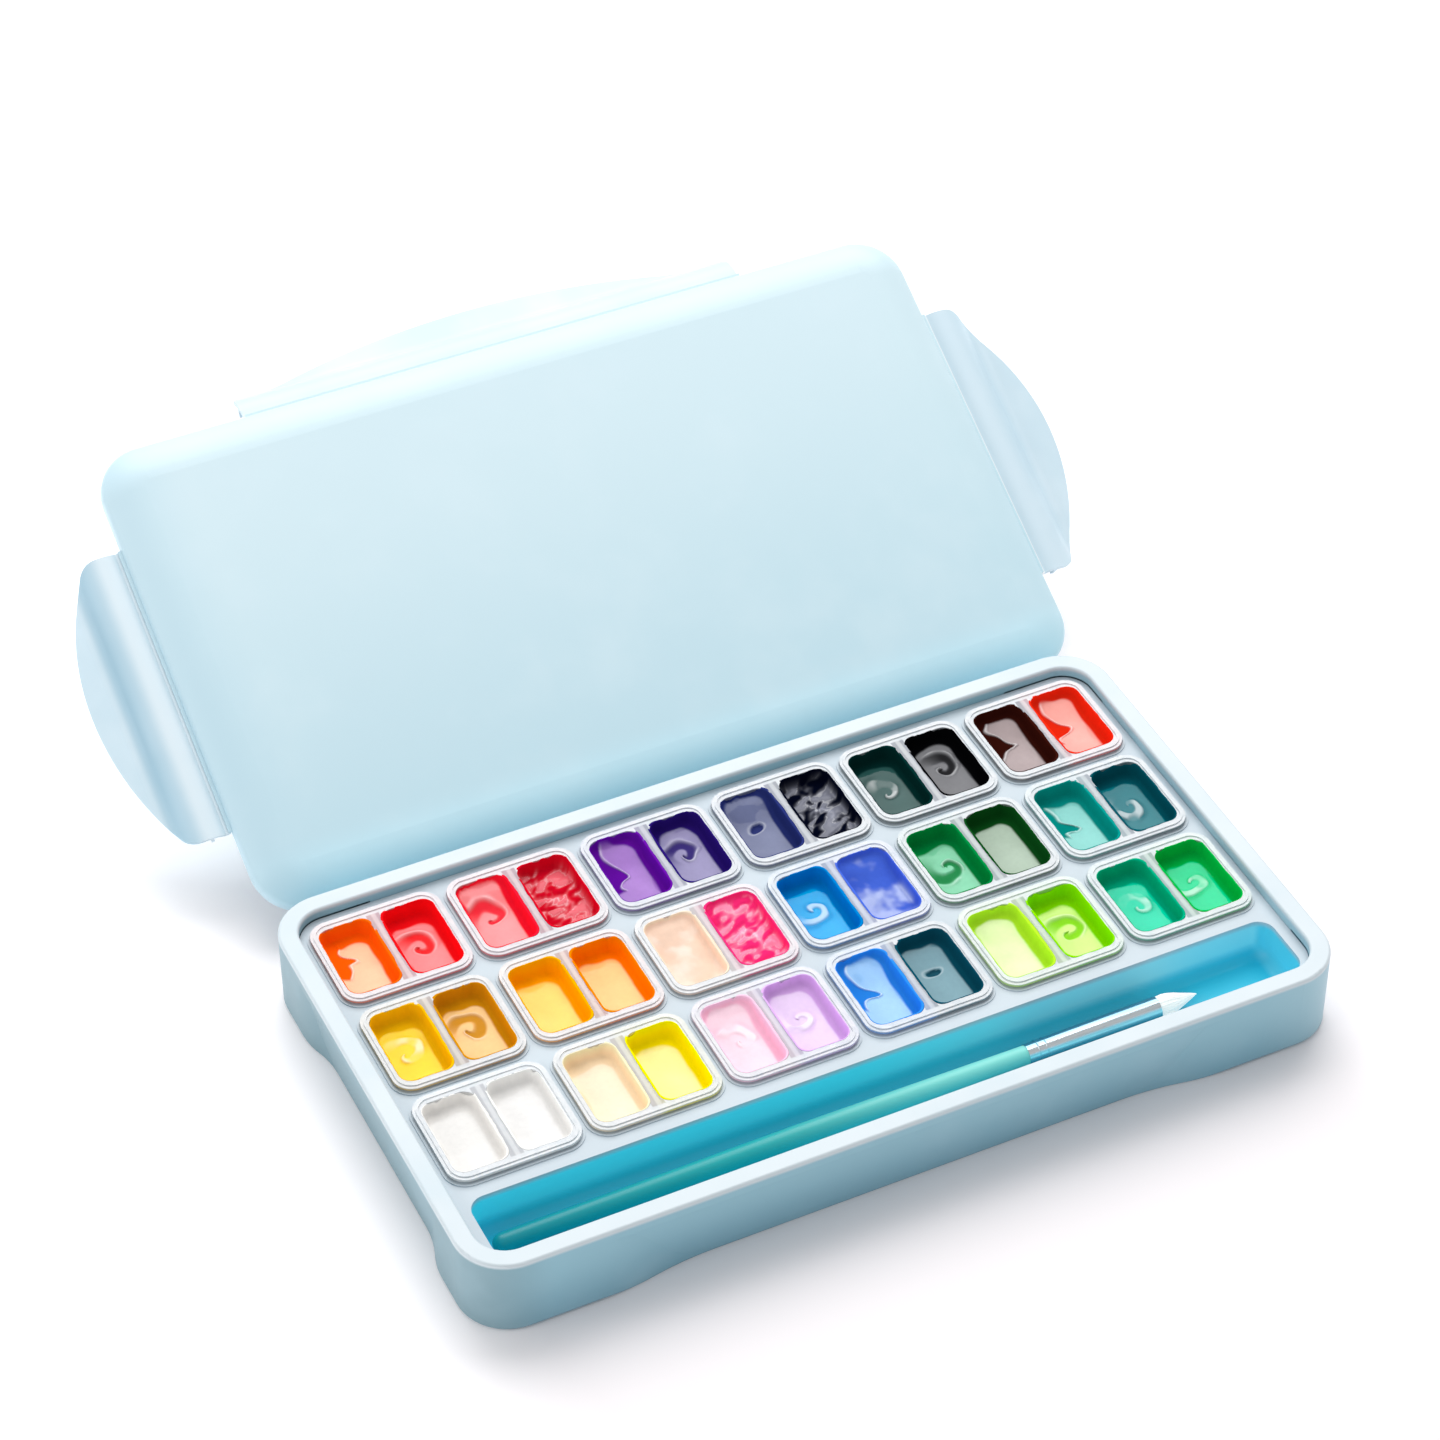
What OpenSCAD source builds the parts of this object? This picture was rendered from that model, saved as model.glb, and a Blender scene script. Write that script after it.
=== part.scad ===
// Gouache paint set box: a shallow tub with a cup tray, eighteen twin cups of
// paint, a brush in the front trough, and a loose lid that leans behind it with
// four latch flaps. The origin is the middle of the tub's underside, and the
// front, with the brush trough, faces -Y.

/* [Cup grid] */
// Columns of twin cups, left to right
cup_columns = 6; // [4:1:6]
// Rows of twin cups, back to front
cup_rows = 3; // [2:1:3]
// Spacing of the cups from left to right
pitch_x = 50; // [46:0.5:56]
// Spacing of the cups from back to front
pitch_y = 44.3; // [42:0.5:50]

/* [Twin cup] */
// Gap between the flanges of two neighbours in a row
flange_gap_x = 3; // [2:0.5:5]
// Gap between the flanges of two neighbours in a column
flange_gap_y = 3.9; // [3:0.5:6]
// Corner radius of the flange
flange_r = 7; // [5:0.5:9]
// Width of the flange outside the cup's body
flange_reach = 1.6; // [1.2:0.1:2.2]
// Thickness of the flange
flange_t = 1; // [0.8:0.1:1.4]
// Height of the collar that holds the flange above the deck
collar_h = 1.1; // [0.6:0.1:1.6]
// Wall thickness of the cup
cup_wall = 1; // [0.8:0.1:1.4]
// Thickness of the divider between the two compartments
divider_t = 4; // [3:0.2:6]
// Depth of a compartment below the top of the flange
cup_depth = 22.3; // [16:0.5:23]
// Height of the sealing bead on top of the flange
bead_h = 0.4; // [0.2:0.1:0.6]
// Distance from the top of the flange down to the paint
paint_drop = 7.5; // [5:0.5:12]
// The same distance in the compartments that are filled to the top
full_drop = 3; // [1:0.5:3.5]

/* [Tub] */
// Height of the tub
base_h = 31; // [30:0.5:38]
// Corner radius of the tub and the lid
corner_r = 18; // [16:0.5:24]
// Width of the flat rim
rim_w = 7; // [6:0.5:9]
// Rounding of the rim's edges
rim_round = 1; // [0.5:0.1:1.4]
// Rounding of the tub's lower edge
foot_round = 1.6; // [0.8:0.1:2]
// Thickness of the tub's floor
floor_t = 2; // [1.6:0.1:2.6]
// Wall thickness in the hollow corners
shell_t = 2.4; // [2:0.1:3]
// How far the walls draw in at the table, between the corners
scoop_depth = 4.3; // [2:0.1:4.8]
// Height of the lip that the latch flaps hook under
lip_h = 4.5; // [3.5:0.1:6]
// How far that lip stands proud of the wall
lip_step = 0.9; // [0.5:0.1:1.4]

/* [Tray] */
// How far the deck lies below the rim
deck_drop = 4.6; // [4.4:0.1:5.5]
// Thickness of the deck
deck_t = 1.8; // [1.4:0.1:2.4]
// Width of the brush trough
trough_d = 26.7; // [20:0.1:34]
// Depth of the trough below the deck
trough_depth = 15.4; // [12:0.1:17]
// Wall thickness of the trough
trough_wall = 1.5; // [1.2:0.1:2]
// Corner radius of the trough
trough_r = 6; // [5:0.5:8]
// Radius of the cove between the trough's floor and its walls
trough_cove = 4.5; // [2:0.5:4.5]
// Deck between the cup grid and the trough
trough_gap = 4.1; // [3:0.1:8]

/* [Lid] */
// Height of the lid from its sealing edge to the top of the dome
lid_h = 9.5; // [8.5:0.5:14]
// Thickness of the lid
lid_t = 2; // [1.6:0.1:2.6]
// Radius of the domed shoulder round the lid
dome_r = 23; // [17:1:23]
// Angle at which the lid leans back
lid_lean = 28.2; // [15:0.1:45]
// Gap between the tub and the lid's lower edge
lid_gap = 12.4; // [12:0.1:40]
// Height of the lid's lower edge above the table
lid_foot = 11.5; // [11.5:0.1:30]
// How far the lid stands to the right of the tub's middle
lid_shift = 5.8; // [-20:0.1:20]

/* [Latch flaps] */
// How far a flap reaches from its hinge
flap_reach = 29; // [26:0.5:31]
// Thickness of a flap
flap_t = 1.6; // [1.2:0.1:2]
// Share of the lid's short side that a flap takes
short_flap_share = 0.61; // [0.4:0.01:0.7]
// Share of the lid's long side that a flap takes
long_flap_share = 0.62; // [0.4:0.01:0.7]
// Swing of the left and right flaps below the lid's plane
side_swing = 14; // [0:1:90]
// Swing of the back flap
back_swing = 45; // [0:1:90]
// Swing of the front flap, which is folded under the lid
front_swing = 140; // [140:1:142]

/* [Brush] */
// Length of the brush, which is made shorter where the trough is too short for it
brush_length = 258; // [160:1:270]
// Largest radius of the handle
handle_r = 4; // [3:0.1:5]
// Distance from the trough's left end to the end of the handle
brush_inset = 4; // [2:0.5:20]
// How far the brush lies behind the middle of the trough
brush_off = 1.4; // [-5:0.1:5]

/* [Hidden] */
$fn = 48;
eps = 0.01;
slip = 0.3;        // clearance round the trough and under the brush
tray_slip = 0.1;   // clearance round the tray's deck in the tub's mouth
hinge_slip = 0.3;  // clearance of the hinge beads

grid_w = cup_columns * pitch_x;
grid_d = cup_rows * pitch_y;
side_margin = 9;
back_margin = 9.5;
base_w = grid_w + 2 * side_margin;
base_d = back_margin + grid_d + trough_gap + trough_d + trough_wall + slip + rim_w;
open_w = base_w - 2 * rim_w;
open_d = base_d - 2 * rim_w;
open_r = corner_r - rim_w;
lip_z = base_h - lip_h;

grid_y = base_d / 2 - back_margin - grid_d / 2;
deck_z = base_h - deck_drop;
trough_w = open_w - 9;
trough_y = -base_d / 2 + rim_w + slip + trough_wall + trough_d / 2;
trough_floor = deck_z - trough_depth;

// The tub's walls draw in between the corners by these lengths, a level stretch
// and the curve at each of its ends.
long_level = 0.472 * base_w;
long_blend = 0.142 * base_w;
short_level = 0.418 * base_d;
short_blend = 0.132 * base_d;

flange_w = pitch_x - flange_gap_x;
flange_d = pitch_y - flange_gap_y;
cup_w = flange_w - 2 * flange_reach;
cup_d = flange_d - 2 * (flange_reach + 1);
cup_r = flange_r - flange_reach;
collar_reach = 1;
flange_z = deck_z + collar_h + flange_t;
cup_floor = flange_z - cup_depth;
room_w = (cup_w - 2 * cup_wall - divider_t) / 2;
room_d = cup_d - 2 * cup_wall;
room_r = cup_r - cup_wall;
room_x = (room_w + divider_t) / 2;
bead_w = 0.9;
bead_inset = 1.1;
paint_slip = 0.05;

pocket_w = cup_w + 1;
pocket_d = cup_d + 1;
pocket_r = cup_r + 0.5;
pocket_wall = 1.2;
pocket_depth = 8;
moulding_h = 0.4;
moulding_w = 0.8;
post_r = 3;

knuckle_r = 3;       // rounding between the dome and the lid's wall
lean = [0.6, 0.8];   // direction in which the dome runs into that rounding
knuckle_x = corner_r - knuckle_r;
dome_x = knuckle_x - lean.x * (dome_r - knuckle_r);  // where the dome starts, from the corner's centre
knuckle_z = lid_h - dome_r + lean.y * (dome_r - knuckle_r);
shoulder_w = corner_r - dome_x;
plug_h = 2;        // the ridge that enters the tub's mouth
plug_t = 1.4;
plug_x = open_r - 0.4 - plug_t;
shelf_z = 2.6;
shelf_t = 1.6;
gasket_w = 3.6;
gasket_h = 2.4;
gasket_x = plug_x + plug_t + 0.9;

hinge_out = 1.3;   // the hinge axis, outside the lid's wall and level with its edge
bead_r = 1;
ledge_h = 2.4;
short_half = short_flap_share * base_d / 2;
long_half = long_flap_share * base_w / 2;

// A flap's section rises in a crest, dips in a valley and ends in a lifted lip.
crest_from = 1;
crest_w = 14;
crest_h = 2.4;
crest_r = (pow(crest_w / 2, 2) + pow(crest_h, 2)) / (2 * crest_h);
crest_slope = asin(crest_w / 2 / crest_r);
valley_r = 6;
valley_t = crest_from + crest_w + valley_r * sin(crest_slope);
valley_n = valley_r * cos(crest_slope);
lip_slope = 30;
lip_t = valley_t + valley_r * sin(lip_slope);
lip_n = valley_n - valley_r * cos(lip_slope);
catch_t = 1.2;
catch_from = lip_h + 0.6;
catch_n = -1.8;
flap_corner_r = 8;
flap_shoulder = 11.4;  // how far the flap's tip arc falls off towards its corners

// The brush lies along the trough's floor.
brush_y = trough_y + brush_off;
brush_z = trough_floor + handle_r + slip;
brush_from = -trough_w / 2 + brush_inset;
brush_len = min(brush_length, trough_w - 2 * brush_inset);
ferrule_from = brush_from + 0.746 * brush_len;
bristle_from = brush_from + 0.94 * brush_len;
brush_to = brush_from + brush_len;
handle_end_r = 0.85 * handle_r;
belly_from = brush_from + 0.42 * brush_len;
neck_r = 0.84 * handle_r;
ferrule_r = 0.9 * handle_r;
crimp_r = 0.25;

plastic = "#c4dfe8";
tray_plastic = "#d6e8ef";
clear_plastic = [0.9, 0.94, 0.96, 0.35];

// Paint colours, one row of cups after another, each cup left then right.
PAINTS = [
    [["#f2641e", "#e02824"], ["#e8252c", "#c3162c"], ["#6a1f9c", "#33207e"],
     ["#2d3a86", "#141c3c"], ["#0d4f4d", "#17181a"], ["#3a221c", "#dc3524"]],
    [["#f7c800", "#e08a12"], ["#ffb400", "#ff9412"], ["#fbe0c8", "#ee2c6c"],
     ["#0a86d4", "#4a74cf"], ["#0e9a54", "#55705a"], ["#10968c", "#086a66"]],
    [["#f6f4f0", "#f7f5f1"], ["#fbe6c4", "#fbe000"], ["#fbbfd4", "#d3b0e2"],
     ["#4c9fe6", "#0f5a6c"], ["#c4ee3c", "#8ede1c"], ["#0fae86", "#0aa24c"]]
];
// Compartments that are filled to the top: row, column, and 0 for left or 1 for right.
FULL = [[1, 4, 1], [2, 3, 0], [2, 3, 1], [2, 4, 1], [2, 5, 1], [3, 1, 0], [3, 1, 1], [3, 2, 0]];

CUPS = [for (r = [1:cup_rows]) for (c = [1:cup_columns]) str("r", r, "c", c)];

// ---- shared shapes ----

module rounded_rect(w, d, r) {
    square([w, d - 2 * r], center = true);
    square([w - 2 * r, d], center = true);
    for (x = [-1, 1]) for (y = [-1, 1])
        translate([x * (w / 2 - r), y * (d / 2 - r)]) circle(r);
}

module slab(w, d, h, r) {
    linear_extrude(h) rounded_rect(w, d, r);
}

// Sweeps a profile round a rounded rectangle. The profile's x counts outwards
// from the centre of a corner, so the outer wall is at x = r.
module edge_sweep(w, d, r) {
    for (k = [0:3]) {
        along = k % 2 == 0 ? w : d;
        across = k % 2 == 0 ? d : w;
        rotate(90 * k) {
            translate([-along / 2 + r, across / 2 - r, 0])
                rotate([90, 0, 90]) linear_extrude(along - 2 * r) children();
            translate([along / 2 - r, across / 2 - r, 0])
                rotate_extrude(angle = 90) children();
        }
    }
}

module at_cup(r, c) {
    translate([(c - (cup_columns + 1) / 2) * pitch_x, grid_y - (r - (cup_rows + 1) / 2) * pitch_y, 0])
        children();
}

// ---- tub ----

// Plan of one drawn-in wall, with the wall's line at y = 0 and the inside above.
// Each end is an S of two equal arcs.
module scoop_plan(level, blend) {
    arc_r = (pow(blend, 2) + pow(scoop_depth, 2)) / (4 * scoop_depth);
    outside = 2;
    translate([-level / 2, -outside]) square([level, scoop_depth + outside]);
    for (side = [0, 1]) mirror([side, 0]) translate([level / 2, 0]) {
        intersection() {
            translate([-eps, -outside]) square([blend / 2 + eps, scoop_depth + outside]);
            translate([0, scoop_depth - arc_r]) circle(arc_r, $fn = 240);
        }
        difference() {
            translate([blend / 2 - eps, -outside]) square([blend / 2 + eps, scoop_depth / 2 + outside]);
            translate([blend, arc_r]) circle(arc_r, $fn = 240);
        }
    }
}

module scoop(level, blend) {
    outside = 2;
    below = 1;
    intersection() {
        translate([0, 0, -below]) linear_extrude(lip_z + below) scoop_plan(level, blend);
        rotate([90, 0, 90]) translate([0, 0, -level])
            linear_extrude(2 * level)
                polygon([[-outside, -below], [scoop_depth, -below], [scoop_depth, 0],
                         [lip_step, lip_z], [-outside, lip_z]]);
    }
}

module rim_cap_profile() {
    inner = open_r + rim_round;
    outer = corner_r - rim_round;
    translate([inner, 0]) square([outer - inner, rim_round]);
    intersection() {
        translate([open_r, 0]) square([rim_w, rim_round]);
        union() {
            translate([inner, 0]) circle(rim_round);
            translate([outer, 0]) circle(rim_round);
        }
    }
}

module foot_profile() {
    translate([corner_r - foot_round, foot_round]) intersection() {
        circle(foot_round);
        translate([0, -foot_round]) square(foot_round);
    }
}

// The hollow corners, outside the mouth's outline and under the rim.
module corner_hollows() {
    roof = base_h - 4;
    from_x = long_level / 2 + long_blend + shell_t;
    from_y = short_level / 2 + short_blend + shell_t;
    intersection() {
        translate([0, 0, floor_t])
            slab(base_w - 2 * shell_t, base_d - 2 * shell_t, roof - floor_t, corner_r - shell_t);
        for (x = [0, 1]) for (y = [0, 1]) mirror([x, 0, 0]) mirror([0, y, 0])
            translate([from_x, from_y, 0]) cube([base_w, base_d, base_h]);
    }
}

module base_tub() {
    color(plastic) {
        difference() {
            union() {
                translate([0, 0, foot_round])
                    slab(base_w, base_d, base_h - rim_round - foot_round, corner_r);
                slab(base_w - 2 * foot_round, base_d - 2 * foot_round, foot_round, corner_r - foot_round);
                edge_sweep(base_w, base_d, corner_r) foot_profile();
            }
            translate([0, 0, floor_t]) slab(open_w, open_d, base_h, open_r);
            corner_hollows();
            for (side = [0, 180]) {
                rotate(side) translate([0, -base_d / 2, 0]) scoop(long_level, long_blend);
                rotate(side + 90) translate([0, -base_w / 2, 0]) scoop(short_level, short_blend);
            }
        }
        translate([0, 0, base_h - rim_round])
            edge_sweep(base_w, base_d, corner_r) rim_cap_profile();
    }
}

// ---- tray ----

// The trough's room up to the height top, grown outwards by grow. Its floor runs
// up into the walls in a cove.
module trough_room(grow, top) {
    w = trough_w + 2 * grow;
    d = trough_d + 2 * grow;
    r = trough_r + grow;
    cove = trough_cove + grow;
    foot = trough_floor - grow;
    translate([0, trough_y, foot + cove]) slab(w, d, top - foot - cove, r);
    translate([0, trough_y, foot]) {
        slab(w - 2 * cove, d - 2 * cove, cove, r - cove);
        edge_sweep(w, d, r) translate([r - cove, cove]) intersection() {
            circle(cove);
            translate([0, -cove]) square(cove);
        }
    }
}

module pocket_collar() {
    translate([0, 0, deck_z - deck_t - pocket_depth]) difference() {
        slab(pocket_w + 2 * pocket_wall, pocket_d + 2 * pocket_wall, pocket_depth + eps,
             pocket_r + pocket_wall);
        translate([0, 0, -eps]) slab(pocket_w, pocket_d, pocket_depth + 1, pocket_r);
    }
}

module pocket_moulding() {
    gap = 0.3;
    translate([0, 0, deck_z - eps]) difference() {
        slab(flange_w + 2 * (gap + moulding_w), flange_d + 2 * (gap + moulding_w),
             moulding_h + eps, flange_r + gap + moulding_w);
        translate([0, 0, -eps]) slab(flange_w + 2 * gap, flange_d + 2 * gap, 1, flange_r + gap);
    }
}

module cup_tray() {
    color(tray_plastic) difference() {
        union() {
            translate([0, 0, deck_z - deck_t])
                slab(open_w - 2 * tray_slip, open_d - 2 * tray_slip, deck_t, open_r - tray_slip);
            trough_room(trough_wall, deck_z - deck_t + eps);
            for (r = [1:cup_rows]) for (c = [1:cup_columns]) at_cup(r, c) {
                pocket_collar();
                pocket_moulding();
            }
            for (i = [1, floor(cup_columns / 2), cup_columns - 1]) for (j = [1:cup_rows - 1])
                translate([(i - cup_columns / 2) * pitch_x, grid_y + (j - cup_rows / 2) * pitch_y, floor_t])
                    cylinder(r = post_r, h = deck_z - deck_t - floor_t + eps);
        }
        trough_room(0, deck_z + 1);
        for (r = [1:cup_rows]) for (c = [1:cup_columns]) at_cup(r, c)
            translate([0, 0, deck_z - deck_t - 1]) slab(pocket_w, pocket_d, deck_t + 2, pocket_r);
    }
}

// ---- cups and paint ----

module at_rooms() {
    for (side = [-1, 1]) translate([side * room_x, 0, 0]) children();
}

module cup(r, c) {
    color(clear_plastic) at_cup(r, c) difference() {
        union() {
            translate([0, 0, cup_floor - cup_wall])
                slab(cup_w, cup_d, deck_z - cup_floor + cup_wall + eps, cup_r);
            translate([0, 0, deck_z])
                slab(cup_w + 2 * collar_reach, cup_d + 2 * collar_reach, collar_h + eps,
                     cup_r + collar_reach);
            translate([0, 0, deck_z + collar_h]) slab(flange_w, flange_d, flange_t, flange_r);
            translate([0, 0, flange_z - eps]) difference() {
                slab(flange_w - 2 * bead_inset, flange_d - 2 * bead_inset, bead_h + eps,
                     flange_r - bead_inset);
                translate([0, 0, -eps])
                    slab(flange_w - 2 * (bead_inset + bead_w), flange_d - 2 * (bead_inset + bead_w), 1,
                         flange_r - bead_inset - bead_w);
            }
        }
        translate([0, 0, cup_floor]) at_rooms() slab(room_w, room_d, cup_depth + 1, room_r);
    }
}

function is_full(r, c, side) = len([for (f = FULL) if (f == [r, c, side]) f]) > 0;

module paint(r, c) {
    for (side = [0, 1]) color(PAINTS[r - 1][c - 1][side]) {
        drop = is_full(r, c, side) ? full_drop : paint_drop;
        at_cup(r, c) translate([(2 * side - 1) * room_x, 0, cup_floor + paint_slip])
            slab(room_w - 2 * paint_slip, room_d - 2 * paint_slip, cup_depth - drop - paint_slip,
                 room_r - paint_slip);
    }
}

// ---- lid ----

// The frame of the lid, with its sealing edge in the plane z = 0.
module at_lid() {
    translate([lid_shift,
               base_d / 2 + lid_gap + base_d / 2 * cos(lid_lean),
               lid_foot + base_d / 2 * sin(lid_lean)])
        rotate([lid_lean, 0, 0]) children();
}

// The lid's edge in section, drawn in by inset: dome, knuckle and wall. Each
// stretch ends on a line that the next one starts on.
module lid_edge(inset) {
    far = dome_r + 2;
    near = 2 * knuckle_r;
    low = -plug_h - 1;
    intersection() {
        translate([dome_x, lid_h - dome_r]) circle(dome_r - inset, $fn = 240);
        polygon([[dome_x, low], [dome_x, lid_h + 1], [dome_x, lid_h - dome_r] + far * lean,
                 [knuckle_x, knuckle_z], [knuckle_x, low]]);
    }
    translate([knuckle_x, knuckle_z]) intersection() {
        circle(knuckle_r - inset);
        polygon([[0, 0], [near, 0], [near, near], near * lean]);
    }
    translate([knuckle_x, low]) square([knuckle_r - inset, knuckle_z - low]);
}

module lid_profile() {
    difference() {
        lid_edge(0);
        lid_edge(lid_t);
        translate([0, -plug_h - 2]) square([corner_r + 1, plug_h + 2]);
    }
    translate([plug_x, -plug_h]) square([plug_t, plug_h + lid_h - lid_t - 0.6]);
    translate([plug_x + plug_t - eps, shelf_z])
        square([corner_r - lid_t - plug_x - plug_t + 2 * eps, shelf_t]);
}

// Places a flap's frame on side 0 (back), 1 (left), 2 (front) or 3 (right) of the lid.
// There x runs along the hinge, y points outwards and z is the lid's own upward way.
module at_hinge(side) {
    off = (side % 2 == 0 ? base_d : base_w) / 2 + hinge_out;
    at_lid() rotate(90 * side) translate([0, off, 0]) children();
}

module hinge_ledge(half) {
    difference() {
        translate([-half, -hinge_out - eps, 0]) cube([2 * half, hinge_out + eps, ledge_h]);
        rotate([0, 90, 0]) cylinder(r = bead_r + hinge_slip, h = 2 * half + 2, center = true);
    }
}

module lid_shell() {
    color(plastic) {
        at_lid() {
            edge_sweep(base_w, base_d, corner_r) lid_profile();
            translate([0, 0, lid_h - lid_t])
                slab(base_w - 2 * shoulder_w, base_d - 2 * shoulder_w, lid_t, dome_x);
        }
        at_hinge(0) hinge_ledge(long_half);
        at_hinge(1) hinge_ledge(short_half);
        at_hinge(2) hinge_ledge(long_half);
        at_hinge(3) hinge_ledge(short_half);
    }
}

module lid_gasket() {
    color("#e9edef") at_lid() edge_sweep(base_w, base_d, corner_r)
        translate([gasket_x, shelf_z - gasket_h]) square([gasket_w, gasket_h]);
}

// ---- latch flaps ----

// A band of a ring, from angle a to angle b, less than half a turn.
module ring_band(r, t, a, b) {
    far = 2 * r;
    intersection() {
        difference() {
            circle(r + t / 2, $fn = 96);
            circle(r - t / 2, $fn = 96);
        }
        polygon([[0, 0], far * [cos(a), sin(a)], far * [cos((a + b) / 2), sin((a + b) / 2)] / cos((b - a) / 2),
                 far * [cos(b), sin(b)]]);
    }
}

// Section of a flap, with x outwards from the hinge and y upwards.
module flap_section() {
    root = 0.5;
    lap = 1;  // neighbouring stretches run this angle into each other
    circle(bead_r);
    translate([crest_from + crest_w / 2, crest_h - crest_r])
        ring_band(crest_r, flap_t, 90 - crest_slope, 90 + crest_slope + lap);
    translate([0, -flap_t / 2]) square([crest_from + root, flap_t]);
    translate([valley_t, valley_n]) ring_band(valley_r, flap_t, 270 - crest_slope - lap, 270 + lip_slope + lap);
    translate([lip_t, lip_n]) rotate(lip_slope) translate([-eps, -flap_t / 2])
        square([flap_reach, flap_t]);
    translate([catch_from, catch_n]) square([catch_t, crest_h - catch_n]);
}

function arc_points(centre, r, from, to, steps) =
    [for (i = [0:steps]) centre + r * [cos(from + (to - from) * i / steps), sin(from + (to - from) * i / steps)]];

// Outline of a flap seen square on. The tip is one long shallow arc, and a round
// corner of radius flap_corner_r joins it to each side without a break.
module flap_outline(half) {
    corner_x = half - flap_corner_r;
    tip_r = (pow(corner_x, 2) + pow(flap_shoulder, 2)) / (2 * flap_shoulder);
    tip_y = flap_reach - tip_r;
    corner_y = tip_y + sqrt(pow(tip_r - flap_corner_r, 2) - pow(corner_x, 2));
    turn = acos(corner_x / (tip_r - flap_corner_r));
    low = -2 * bead_r;
    polygon(concat(
        [[half, low]],
        arc_points([corner_x, corner_y], flap_corner_r, 0, turn, 8),
        arc_points([0, tip_y], tip_r, turn, 180 - turn, 24),
        arc_points([-corner_x, corner_y], flap_corner_r, 180 - turn, 180, 8),
        [[-half, low]]
    ));
}

module flap(half) {
    over = 6;
    intersection() {
        rotate([90, 0, 90]) translate([0, 0, -half - over]) linear_extrude(2 * (half + over)) flap_section();
        translate([0, 0, -over]) linear_extrude(2 * over) flap_outline(half);
    }
}

module swung_flap(side, half, swing) {
    color(plastic) at_hinge(side) rotate([-swing, 0, 0]) flap(half);
}

module flap_back() { swung_flap(0, long_half, back_swing); }
module flap_left() { swung_flap(1, short_half, side_swing); }
module flap_front() { swung_flap(2, long_half, front_swing); }
module flap_right() { swung_flap(3, short_half, side_swing); }

// ---- brush ----

// Puts a shape that is turned about z along the brush, starting at from.
module along_brush(from) {
    translate([from, brush_y, brush_z]) rotate([0, 90, 0]) children();
}

module brush_handle() {
    color("#4fb9ad") {
        along_brush(brush_from + handle_end_r) {
            sphere(handle_end_r);
            cylinder(r1 = handle_end_r, r2 = handle_r, h = belly_from - brush_from - handle_end_r);
        }
        along_brush(belly_from)
            cylinder(r1 = handle_r, r2 = neck_r, h = ferrule_from - belly_from);
    }
}

module brush_ferrule() {
    color("#e4e8ea") {
        along_brush(ferrule_from)
            cylinder(r1 = ferrule_r, r2 = handle_r, h = bristle_from - ferrule_from);
        for (crimp = [0.08, 0.14])
            along_brush(ferrule_from + crimp * (bristle_from - ferrule_from))
                rotate_extrude() translate([ferrule_r, 0]) circle(crimp_r, $fn = 24);
    }
}

module brush_bristles() {
    color("#f4f4f0") along_brush(bristle_from)
        cylinder(r1 = handle_r - 0.2, r2 = 0.8, h = brush_to - bristle_from);
}

// ---- nodes ----

base_tub();
cup_tray();
lid_shell();
lid_gasket();
flap_left();
flap_right();
flap_back();
flap_front();
brush_handle();
brush_ferrule();
brush_bristles();
for (r = [1:cup_rows]) for (c = [1:cup_columns]) {
    cup(r, c);
    paint(r, c);
}
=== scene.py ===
import math
import random

import bpy
import numpy as np
from mathutils import Matrix, Vector, noise

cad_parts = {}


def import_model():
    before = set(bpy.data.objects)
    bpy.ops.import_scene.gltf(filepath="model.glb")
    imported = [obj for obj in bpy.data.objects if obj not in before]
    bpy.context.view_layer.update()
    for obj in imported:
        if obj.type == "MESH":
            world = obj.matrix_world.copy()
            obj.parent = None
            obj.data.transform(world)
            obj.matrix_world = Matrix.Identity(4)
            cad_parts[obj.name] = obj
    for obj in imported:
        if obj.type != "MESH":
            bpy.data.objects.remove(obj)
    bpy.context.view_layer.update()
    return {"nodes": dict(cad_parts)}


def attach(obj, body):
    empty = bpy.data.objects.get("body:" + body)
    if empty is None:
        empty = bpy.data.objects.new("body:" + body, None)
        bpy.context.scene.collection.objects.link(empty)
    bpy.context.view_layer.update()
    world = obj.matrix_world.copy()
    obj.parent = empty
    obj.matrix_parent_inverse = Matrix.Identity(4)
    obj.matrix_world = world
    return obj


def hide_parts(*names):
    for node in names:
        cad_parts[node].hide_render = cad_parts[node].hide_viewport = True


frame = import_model()
nodes = frame["nodes"]
MM = 0.001

# Sizes repeated from part.scad, in millimetres.
COLUMNS, ROWS = 6, 3
PITCH_X, PITCH_Y = 50.0, 44.3
GRID_Y = 15.05  # middle of the grid of cups
FLANGE_Z = 28.5  # top of the cups' flanges
CUP_FLOOR = 6.2
ROOM_W, ROOM_D, ROOM_R = 18.9, 33.2, 4.4  # a compartment's inside, and its corners' radius
ROOM_X = 11.45  # from a cup's middle to the middle of a compartment
LID_LEAN = math.radians(28.2)
LID_ORIGIN = (5.8, 183.6, 54.5)
BRUSH_Y, BRUSH_Z = -67.45, 15.3  # the brush's axis
BRISTLE_FROM, BRUSH_TO = 99.02, 114.5  # the ferrule's mouth and the brush's tip

# The paint, in millimetres.
FILM_OUT, FILM_IN = 0.06, 0.3  # the film on a compartment's wall: gap behind it, and its inner face
SURFACE_EDGE = 0.32  # from the wall to where the surface starts
SURFACE_RISE = 0.4  # how far below the film's upper edge the surface meets it
BANK_FOLLOWED = 3.2  # the pool of light follows a bank's height up to this

# The brush's hair, in millimetres.
HAIR_POINTS = 9  # along each strand
HAIR_STRANDS, HAIR_STRANDS_QUICK = 360, 60
HAIR_BUNDLE, HAIR_THICKNESS = 3.15, 0.16  # radius of the bundle and of a strand
HAIR_SUNK = 0.6  # how deep the strands start inside the ferrule
GOLDEN_ANGLE = 2.399963  # radians; spreads the strands evenly over the round bundle

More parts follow.
